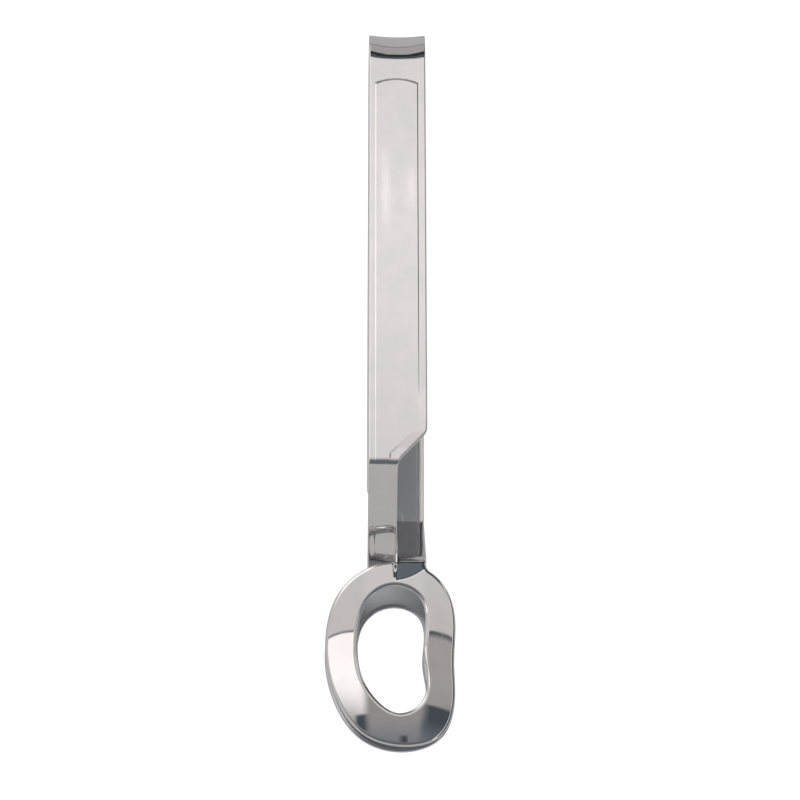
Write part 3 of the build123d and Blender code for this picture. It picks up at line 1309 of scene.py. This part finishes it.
@dataclass(frozen=True)
class StainlessFinish:
    """Stainless steel, polished outside and brushed inside, with scratches and smears."""

    name: str
    lines: bpy.types.NodeTree
    marks: bpy.types.NodeTree
    colour: tuple[float, float, float] = (0.79, 0.745, 0.735)
    smear_colour: tuple[float, float, float] = (0.735, 0.712, 0.702)
    brushed_colour: tuple[float, float, float] = (0.505, 0.515, 0.53)
    roughness: float = 0.02
    line_dullness: float = 0.012
    smear_dullness: float = 0.012
    brushed_dullness: float = 0.30
    line_relief: float = 0.0000014
    brushed_relief: float = 3.0
    scratch_relief: float = 0.0000025
    line_fineness: float = 9000.0
    line_length: float = 160.0
    scratch_scale: float = 120.0
    smear_scale: float = 190.0
    slot: str = "stainless"

    def material(self) -> bpy.types.Material:
        """The finish as a node material."""
        found = bpy.data.materials.get(self.name)
        if found is not None:
            return found
        material = bpy.data.materials.new(self.name)
        material.use_nodes = True
        tree = material.node_tree
        tree.nodes.clear()
        bench = NodeBench(tree)
        place = bench.add("ShaderNodeTexCoord")
        lines = bench.add("ShaderNodeGroup", node_tree=self.lines)
        marks = bench.add("ShaderNodeGroup", node_tree=self.marks)
        for node in (lines, marks):
            tree.links.new(place.outputs["Object"], node.inputs["Vector"])
        lines.inputs["Fineness"].default_value = self.line_fineness
        lines.inputs["Length"].default_value = self.line_length
        marks.inputs["Scratch Scale"].default_value = self.scratch_scale
        marks.inputs["Smear Scale"].default_value = self.smear_scale
        tint = bench.add("ShaderNodeMix", {
            "Factor": marks.outputs["Smears"], 6: (*self.colour, 1.0),
            7: (*self.smear_colour, 1.0)}, data_type="RGBA")
        rough = bench.maths("MULTIPLY_ADD", lines.outputs["Dullness"], self.line_dullness,
                            self.roughness)
        rough = bench.maths("MULTIPLY_ADD", marks.outputs["Smears"], self.smear_dullness, rough)
        inside = bench.add("ShaderNodeAttribute", attribute_name=BRUSHED_MASK).outputs["Fac"]
        tint = bench.add("ShaderNodeMix", {
            "Factor": inside, 6: tint.outputs[2], 7: (*self.brushed_colour, 1.0)},
            data_type="RGBA")
        rough = bench.maths("MULTIPLY_ADD", inside, self.brushed_dullness, rough)
        deeper = bench.maths("MULTIPLY_ADD", inside, self.brushed_relief, 1.0)
        height = bench.maths("MULTIPLY", lines.outputs["Height"], deeper)
        fine = bench.add("ShaderNodeBump", {
            "Height": height, "Strength": 1.0, "Distance": self.line_relief})
        cut = bench.add("ShaderNodeBump", {
            "Height": marks.outputs["Scratches"], "Strength": 1.0,
            "Distance": self.scratch_relief, "Normal": fine.outputs[0]}, invert=True)
        metal = bench.add("ShaderNodeBsdfPrincipled", {
            "Base Color": tint.outputs[2], "Metallic": 1.0, "Roughness": rough,
            "Normal": cut.outputs[0]})
        bench.add("ShaderNodeOutputMaterial", {"Surface": metal.outputs[0]})
        return material

    def dress(self, piece: bpy.types.Object) -> None:
        """Puts the finish on a piece."""
        piece.data.materials.clear()
        piece.data.materials.append(self.material())


# ------------------------------------------------------------------ studio
@dataclass(frozen=True)
class SkyStop:
    """One step of the studio's surround: degrees from overhead and a brightness."""

    angle: float
    level: float


# The surround is not even. Its light and dark zones and patches are fitted to the main view, so
# that the metal's reflections lie in their places there. Other views mirror the same zones.
FAR_SKY = (
    SkyStop(-180, 0.40), SkyStop(-100, 0.42), SkyStop(-88, 0.52), SkyStop(-68, 0.52),
    SkyStop(-60, 0.20), SkyStop(-30, 0.14),
)
CARD_SKY = (
    SkyStop(16.55, 0.72), SkyStop(30, 0.74), SkyStop(37, 0.78), SkyStop(38.5, 0.88),
    SkyStop(40.5, 0.98), SkyStop(42.2, 0.90), SkyStop(44.8, 0.76),
)
UPPER_SKY = (
    SkyStop(45.1, 0.05), SkyStop(48.4, 0.05), SkyStop(48.9, 0.17), SkyStop(50.4, 0.17),
    SkyStop(50.9, 0.04), SkyStop(61, 0.04), SkyStop(62.2, 0.44), SkyStop(84, 0.44),
    SkyStop(87, 0.30), SkyStop(90, 0.44), SkyStop(180, 0.40),
)
SIDE_UPPER_SKY = (SkyStop(97, 0.48), SkyStop(180, 0.40))
LEFT_SKY = (
    *FAR_SKY, SkyStop(-3.0, 0.36), SkyStop(0.0, 0.46), SkyStop(2.0, 0.74), SkyStop(3.5, 1.02),
    SkyStop(6, 1.22), SkyStop(9, 1.28), SkyStop(14.5, 1.28), SkyStop(18, 0.66),
    SkyStop(30, 0.70), SkyStop(33, 1.35), SkyStop(80, 1.35), *SIDE_UPPER_SKY,
)
MIDDLE_SKY = (
    *FAR_SKY, SkyStop(-3.0, 0.24), SkyStop(-1.0, 0.29), SkyStop(1, 0.355), SkyStop(4, 0.34),
    SkyStop(10, 0.50), SkyStop(16.0, 0.60), *CARD_SKY, *UPPER_SKY,
)
RIGHT_SKY = (
    *FAR_SKY, SkyStop(-2.0, 0.19), SkyStop(0.5, 0.20), SkyStop(2.0, 0.38), SkyStop(8, 0.43),
    SkyStop(15, 0.43), SkyStop(18, 0.64), SkyStop(30, 0.70), SkyStop(33, 0.08),
    SkyStop(80, 0.08), *SIDE_UPPER_SKY,
)


@dataclass(frozen=True)
class SkyPatch:
    """A lighter or darker patch of the surround: where it lies, its edges and its colour."""

    across: tuple[float, float]
    angle: tuple[float, float]
    across_edge: tuple[float, float]
    angle_edge: tuple[float, float]
    colour: tuple[float, float, float]
    slanted: bool = False


SKY_PATCHES = (
    SkyPatch((-0.75, -0.25), (16.5, 21.0), (0.02, 0.06), (0.05, 2.0), (0.67, 0.66, 0.66), True),
    SkyPatch((-0.75, -0.29), (11.0, 16.1), (0.02, 0.06), (2.0, 0.05), (1.27, 1.24, 1.24), True),
    SkyPatch((-0.75, -0.25), (16.08, 16.5), (0.02, 0.02), (0.05, 0.05), (0.15, 0.18, 0.21), True),
    SkyPatch((0.35, 0.72), (16.45, 21.0), (0.05, 0.02), (0.05, 2.0), (0.65, 0.64, 0.64), True),
    SkyPatch((0.35, 0.72), (9.0, 16.5), (0.05, 0.02), (2.0, 0.05), (0.43, 0.42, 0.415), True),
    SkyPatch((0.35, 0.72), (15.6, 16.48), (0.02, 0.02), (0.7, 0.05), (0.08, 0.10, 0.12), True),
    SkyPatch((-0.40, -0.27), (-2.0, 2.0), (0.03, 0.05), (1.2, 0.25), (0.07, 0.09, 0.115)),
    SkyPatch((0.39, 0.75), (-0.5, 4.1), (0.07, 0.02), (2.6, 0.12), (0.07, 0.085, 0.105)),
    SkyPatch((0.12, 0.20), (-6.0, -1.7), (0.05, 0.01), (1.0, 0.2), (0.06, 0.07, 0.085)),
    SkyPatch((-0.021, -0.006), (40.72, 41.45), (0.003, 0.010), (0.25, 0.20), (1.27, 1.24, 1.24)),
    SkyPatch((0.050, 0.060), (40.98, 41.40), (0.009, 0.004), (0.15, 0.20), (1.22, 1.19, 1.19)),
)


@dataclass
class Studio:
    """Pale floor, a surround of light and dark zones with small patches, and the camera."""

    place: StripFrame
    floor_size: float = 8.0
    floor_colour: tuple[float, float, float] = (0.88, 0.88, 0.88)
    floor_glow: float = 0.12
    floor_lift: float = 0.66
    distance: float = 0.950
    lean: float = 24.0
    side_lean: float = -1.0
    subject_reach: float = 80.0
    frame_width: float = 0.1644
    sensor: float = 36.0
    aim_right: float = 0.00070
    aim_down: float = 0.00331
    cool: tuple[float, float, float] = (0.80, 1.0, 1.20)
    cool_level: float = 0.10
    plain_level: float = 0.38
    edge_turn: float = 8.0
    edge_from: float = 0.3
    left_span: tuple[float, float] = (-0.35, -0.23)
    right_span: tuple[float, float] = (0.30, 0.40)
    fringe_span: tuple[float, float] = (0.70, 0.74)
    fringe_colour: tuple[float, float, float] = (0.85, 0.85, 0.85)
    dark_span: tuple[float, float] = (0.80, 0.84)
    dark_colour: tuple[float, float, float] = (0.10, 0.12, 0.14)
    far_left_span: tuple[float, float] = (-0.78, -0.72)
    far_left_colour: tuple[float, float, float] = (0.62, 0.62, 0.63)
    clip: tuple[float, float] = (0.01, 50.0)

    def build_floor(self) -> None:
        """A plain pale floor under the tongs."""
        half = self.floor_size / 2
        level = CAD_BOX[0].z
        mesh = bpy.data.meshes.new("floor")
        corners = [(-half, -half, level), (half, -half, level), (half, half, level),
                   (-half, half, level)]
        mesh.from_pydata(corners, [], [(0, 1, 2, 3)])
        floor = bpy.data.objects.new("floor", mesh)
        bpy.context.collection.objects.link(floor)
        material = bpy.data.materials.new("pale_floor")
        material.use_nodes = True
        tree = material.node_tree
        tree.nodes.clear()
        bench = NodeBench(tree)
        base = bench.add("ShaderNodeBsdfDiffuse", {"Color": (*self.floor_colour, 1.0)})
        rays = bench.add("ShaderNodeLightPath")
        lift = bench.maths(
            "MULTIPLY_ADD", rays.outputs["Is Camera Ray"], self.floor_lift, self.floor_glow)
        glow = bench.add("ShaderNodeEmission", {"Color": WHITE, "Strength": lift})
        both = bench.add("ShaderNodeAddShader", {0: base.outputs[0], 1: glow.outputs[0]})
        bench.add("ShaderNodeOutputMaterial", {"Surface": both.outputs[0]})
        mesh.materials.append(material)

    def sky_ramp(self, bench: NodeBench, turn: bpy.types.NodeSocket,
                 stops: tuple[SkyStop, ...]) -> bpy.types.NodeSocket:
        """Colour of the surround by its angle from overhead, cooler where it is dark.

        Args:
            bench: Where the nodes go.
            turn: The angle as a share of a full turn.
            stops: The angles and their brightness.

        Returns:
            The socket with the colour.
        """
        ramp = bench.add("ShaderNodeValToRGB", {0: turn})
        elements = ramp.color_ramp.elements
        while len(elements) < len(stops):
            elements.new(0.5)
        for element, stop in zip(elements, stops):
            element.position = (stop.angle + 180) / 360
            plain = float(smooth_step(stop.level, self.cool_level, self.plain_level))
            red, green, blue = (c + (1 - c) * plain for c in self.cool)
            element.color = (stop.level * red, stop.level * green, stop.level * blue, 1.0)
        return ramp.outputs[0]

    def blended(self, bench: NodeBench, value: bpy.types.NodeSocket,
                span: tuple[float, float], before: object,
                after: object) -> bpy.types.NodeSocket:
        """One colour turning into another as a value passes through a span.

        Args:
            bench: Where the nodes go.
            value: The value that is read.
            span: Where the turn starts and ends.
            before: The colour, or its socket, below the span.
            after: The colour, or its socket, above the span.

        Returns:
            The socket with the blended colour.
        """
        share = bench.add("ShaderNodeMapRange", {
            "Value": value, "From Min": span[0], "From Max": span[1],
            "To Min": 0.0, "To Max": 1.0}, interpolation_type="SMOOTHSTEP")
        mix = bench.add("ShaderNodeMix", {
            "Factor": share.outputs[0], 6: before, 7: after}, data_type="RGBA")
        return mix.outputs[2]

    def patched(self, bench: NodeBench, across: bpy.types.NodeSocket,
                angle: bpy.types.NodeSocket, sky: bpy.types.NodeSocket,
                patch: SkyPatch) -> bpy.types.NodeSocket:
        """The surround with one patch laid over it.

        Args:
            bench: Where the nodes go.
            across: Sideways part of the direction.
            angle: The angle from overhead, in radians.
            sky: The surround so far.
            patch: The patch.

        Returns:
            The socket with the new colour.
        """
        turn = math.radians(1.0)
        spans = (
            (across, patch.across[0], patch.across_edge[0], 1.0),
            (across, patch.across[1], patch.across_edge[1], -1.0),
            (angle, patch.angle[0] * turn, patch.angle_edge[0] * turn, 1.0),
            (angle, patch.angle[1] * turn, patch.angle_edge[1] * turn, -1.0),
        )
        mask = None
        for value, at, edge, way in spans:
            step = bench.add("ShaderNodeMapRange", {
                "Value": value, "From Min": at - edge * way, "From Max": at + edge * way,
                "To Min": 0.0, "To Max": 1.0}, interpolation_type="SMOOTHSTEP").outputs[0]
            mask = step if mask is None else bench.maths("MULTIPLY", mask, step)
        mix = bench.add("ShaderNodeMix", {
            "Factor": mask, 6: sky, 7: (*patch.colour, 1.0)}, data_type="RGBA")
        return mix.outputs[2]

    def build_surround(self) -> None:
        """The surround that the metal mirrors, plain white where the camera sees it."""
        world = bpy.data.worlds.new("studio")
        bpy.context.scene.world = world
        world.use_nodes = True
        tree = world.node_tree
        tree.nodes.clear()
        bench = NodeBench(tree)
        place = bench.add("ShaderNodeTexCoord")
        split = bench.add("ShaderNodeSeparateXYZ", {0: place.outputs["Generated"]})
        across = split.outputs[0]
        plain = bench.maths("ARCTAN2", split.outputs[1], split.outputs[2])
        wide = bench.maths("SUBTRACT", bench.maths("ABSOLUTE", across), self.edge_from)
        wide = bench.maths("MAXIMUM", wide, 0.0)
        angle = bench.maths(
            "MULTIPLY_ADD", wide, -math.radians(self.edge_turn), plain)
        turn = bench.maths("MULTIPLY_ADD", angle, 1 / (2 * math.pi), 0.5)
        left, middle, right = (
            self.sky_ramp(bench, turn, stops) for stops in (LEFT_SKY, MIDDLE_SKY, RIGHT_SKY))
        sky = self.blended(bench, across, self.left_span, left, middle)
        sky = self.blended(bench, across, self.right_span, sky, right)
        for patch in SKY_PATCHES:
            sky = self.patched(bench, across, angle if patch.slanted else plain, sky, patch)
        sky = self.blended(bench, across, self.fringe_span, sky, (*self.fringe_colour, 1.0))
        sky = self.blended(bench, across, self.dark_span, sky, (*self.dark_colour, 1.0))
        sky = self.blended(bench, across, self.far_left_span, (*self.far_left_colour, 1.0), sky)
        rays = bench.add("ShaderNodeLightPath")
        shown = bench.add("ShaderNodeMix", {
            "Factor": rays.outputs["Is Camera Ray"], 6: sky, 7: WHITE},
            data_type="RGBA")
        back = bench.add("ShaderNodeBackground", {"Color": shown.outputs[2], "Strength": 1.0})
        bench.add("ShaderNodeOutputWorld", {"Surface": back.outputs[0]})

    def build_camera(self) -> None:
        """The camera, above the tongs and leaning towards the jaw end."""
        right = Vector(self.place.direct(turned(self.side_lean)[0], 0.0,
                                         -turned(self.side_lean)[1]))
        toward = Vector(self.place.direct(
            turned(self.side_lean)[1] * turned(self.lean)[0], turned(self.lean)[1],
            turned(self.lean)[0])).normalized()
        right = (right - toward * right.dot(toward)).normalized()
        upward = toward.cross(right).normalized()
        subject = Vector(self.place.place(
            np.array(0.0), np.array(self.subject_reach), np.array(0.0)))
        position = subject + toward * self.distance
        aim = subject + right * self.aim_right - upward * self.aim_down
        back = (position - aim).normalized()
        right = (right - back * right.dot(back)).normalized()
        upward = back.cross(right)
        data = bpy.data.cameras.new("camera")
        data.sensor_width = self.sensor
        data.lens = self.sensor * self.distance / self.frame_width
        data.clip_start, data.clip_end = self.clip
        camera = bpy.data.objects.new("camera", data)
        bpy.context.collection.objects.link(camera)
        turn = Matrix((right, upward, back)).transposed().to_4x4()
        camera.matrix_world = Matrix.Translation(position) @ turn
        bpy.context.scene.camera = camera

    def build(self) -> None:
        """Builds the whole studio."""
        self.build_floor()
        self.build_surround()
        self.build_camera()
        settings = bpy.context.scene.view_settings
        settings.view_transform = "Standard"
        settings.look = "None"


def main() -> None:
    """Builds the tongs and their studio in order."""
    logging.basicConfig(level=logging.INFO, format="%(name)s: %(message)s")
    joint = frame["joints"][0]
    bow_low, bow_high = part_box("bow")
    middle = (bow_low + bow_high) / 2
    axis = Vector((middle.x, joint["pos_m"][1], joint["pos_m"][2]))
    line = StripLine()
    place = StripFrame(axis, bow_radius=line.bow_radius, tip_angle=line.handle_spread)
    finish = StainlessFinish("polished_stainless", polish_lines_group(), handling_marks_group())
    bow = SpringBow(line, place)
    strip = ArmStrip(line, place, bow)
    jaw = RingJaw(line, place)
    for arm in Arm:
        for build in (bow.build, strip.build_handle, strip.build_neck, jaw.build):
            made = build(arm, finish)
            LOG.info("%s: %d faces", made.name, len(made.data.polygons))
    Studio(place).build()


if __name__ == "__main__":
    main()
